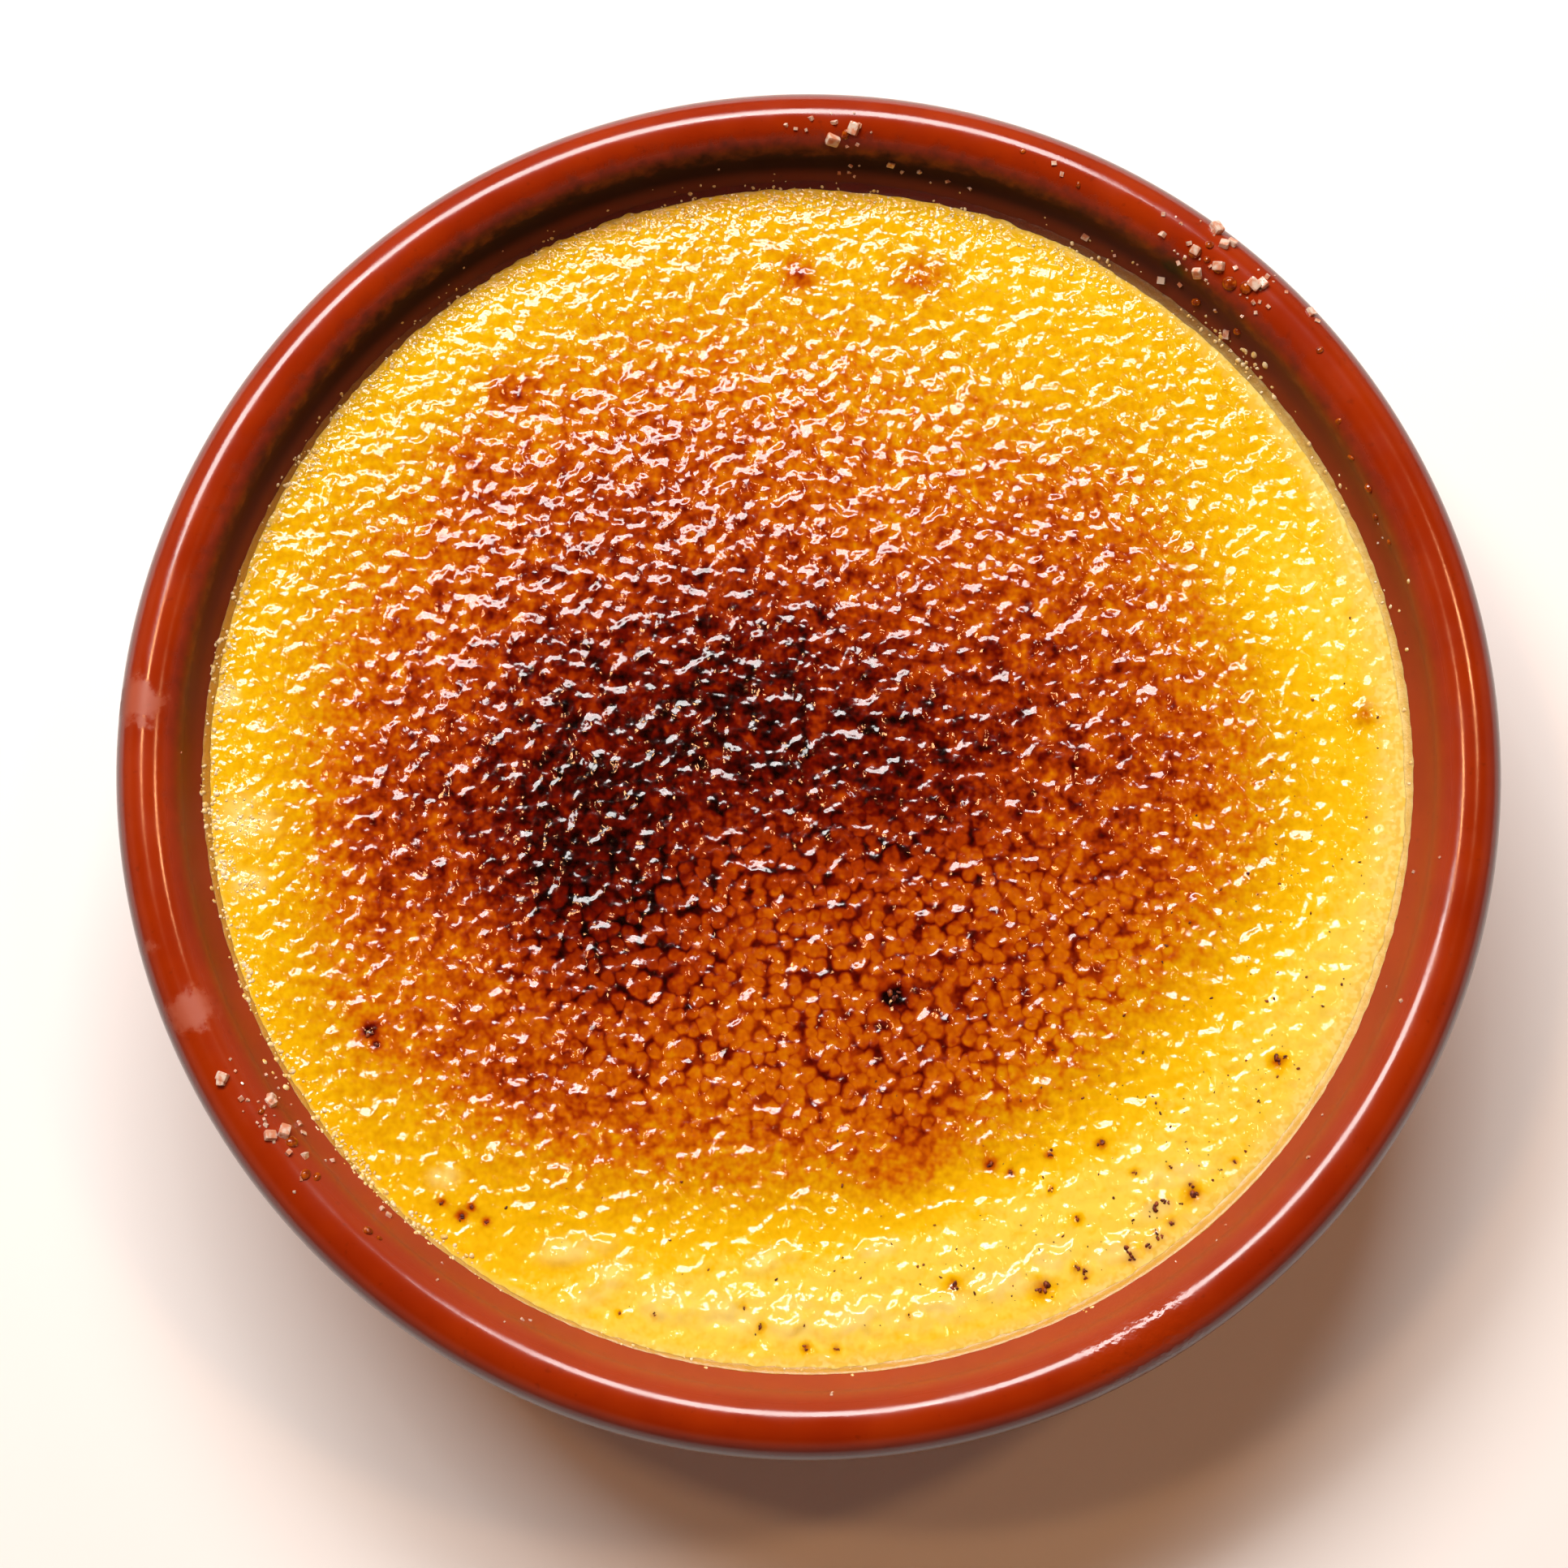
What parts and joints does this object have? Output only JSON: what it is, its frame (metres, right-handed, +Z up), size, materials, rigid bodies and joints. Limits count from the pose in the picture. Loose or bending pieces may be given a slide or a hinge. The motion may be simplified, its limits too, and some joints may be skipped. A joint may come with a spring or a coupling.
{
  "type": "creme brulee in a glazed clay dish",
  "caption": "Baked custard under a torched, pebbled caramel crust, in a shallow round glazed clay dish with a thick rolled lip.",
  "frame": {"origin": "centre of the dish's flat base, on the surface that it stands on", "axes": "+Z up along the dish's axis; -Y is the near side as it is served and +X is to the right"},
  "size_m": [0.14, 0.14, 0.0357],
  "materials": {
    "glazed_clay": "smooth glossy red-brown glaze over thrown clay",
    "custard": "smooth moist baked cream",
    "caramel": "glassy pebbled melted sugar, golden at the edge and burnt brown in the middle"
  },
  "bodies": {
    "root": {"dish": "glazed_clay", "custard": "custard", "caramel_crust": "caramel"}
  },
  "joints": []
}
